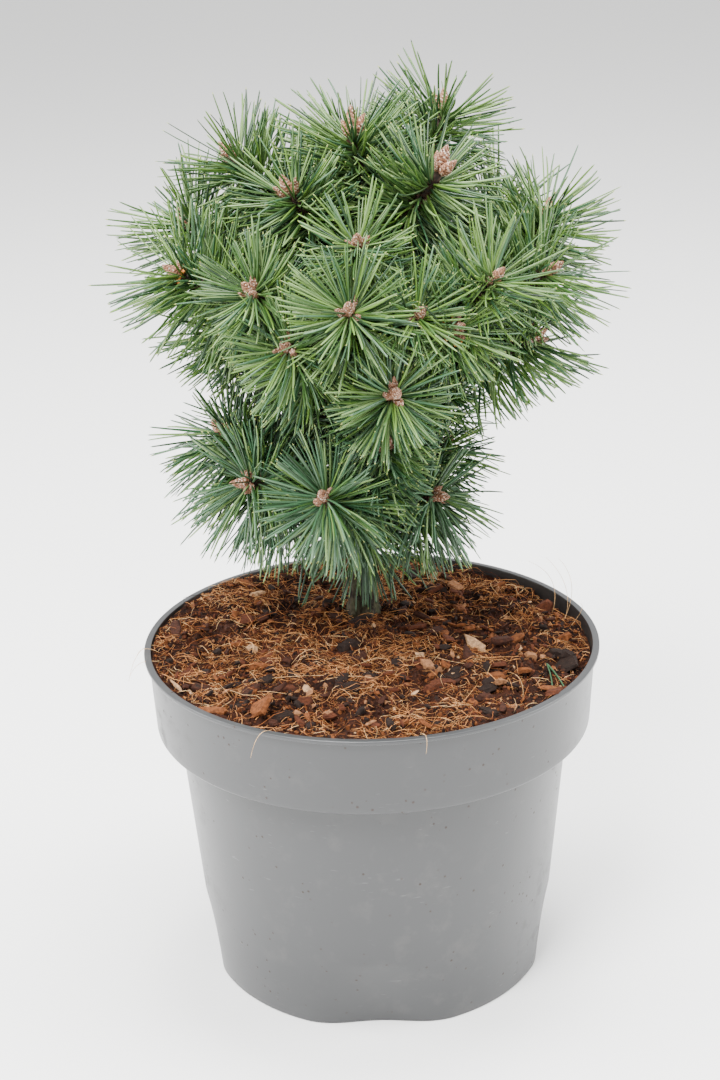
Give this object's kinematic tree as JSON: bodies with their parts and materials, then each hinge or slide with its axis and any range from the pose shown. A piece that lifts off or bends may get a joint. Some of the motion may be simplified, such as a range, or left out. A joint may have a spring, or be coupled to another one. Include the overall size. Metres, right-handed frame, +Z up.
{
  "type": "mugo pine in a pot",
  "caption": "Young upright mugo pine with bushy needled shoots, growing in a round grey nursery pot filled with coarse potting mix.",
  "frame": {"origin": "middle of the flat underside of the pot, on the surface that it stands on", "axes": "+Z up along the pot's axis and the trunk; -Y towards the front that the picture shows; +X to the right of that view"},
  "size_m": [0.2304, 0.2645, 0.4473],
  "materials": {
    "pot": "satin moulded plastic, lightly scuffed",
    "potting_mix": "loose coir fibre and bark chips",
    "bark": "rough scaly bark",
    "needles": "waxy green needles"
  },
  "bodies": {
    "root": {"pot": "pot", "potting_mix": "potting_mix", "trunk": "bark", "bough_low_left": "bark", "bough_low_front": "bark", "bough_low_right": "bark", "bough_low_back_right": "bark", "bough_low_back_left": "bark", "bough_middle_front_left": "bark", "bough_middle_front": "bark", "bough_middle_right": "bark", "bough_middle_back_right": "bark", "bough_middle_back": "bark", "bough_middle_back_left": "bark", "bough_upper_left": "bark", "bough_upper_front": "bark", "bough_upper_front_right": "bark", "bough_upper_right": "bark", "bough_upper_back_right": "bark", "bough_upper_back": "bark", "bough_upper_back_left": "bark", "bough_top_front_right": "bark", "bough_top_front_left": "bark", "bough_top_back_right": "bark", "bough_top_back": "bark", "bough_top_back_left": "bark", "needles_low_left": "needles", "needles_low_front": "needles", "needles_low_right": "needles", "needles_low_back_right": "needles", "needles_low_back_left": "needles", "needles_middle_front_left": "needles", "needles_middle_front": "needles", "needles_middle_right": "needles", "needles_middle_back_right": "needles", "needles_middle_back": "needles", "needles_middle_back_left": "needles", "needles_upper_left": "needles", "needles_upper_front": "needles", "needles_upper_front_right": "needles", "needles_upper_right": "needles", "needles_upper_back_right": "needles", "needles_upper_back": "needles", "needles_upper_back_left": "needles", "needles_top_front_right": "needles", "needles_top_front_left": "needles", "needles_top_back_right": "needles", "needles_top_back": "needles", "needles_top_back_left": "needles", "needles_leader": "needles"}
  },
  "joints": []
}
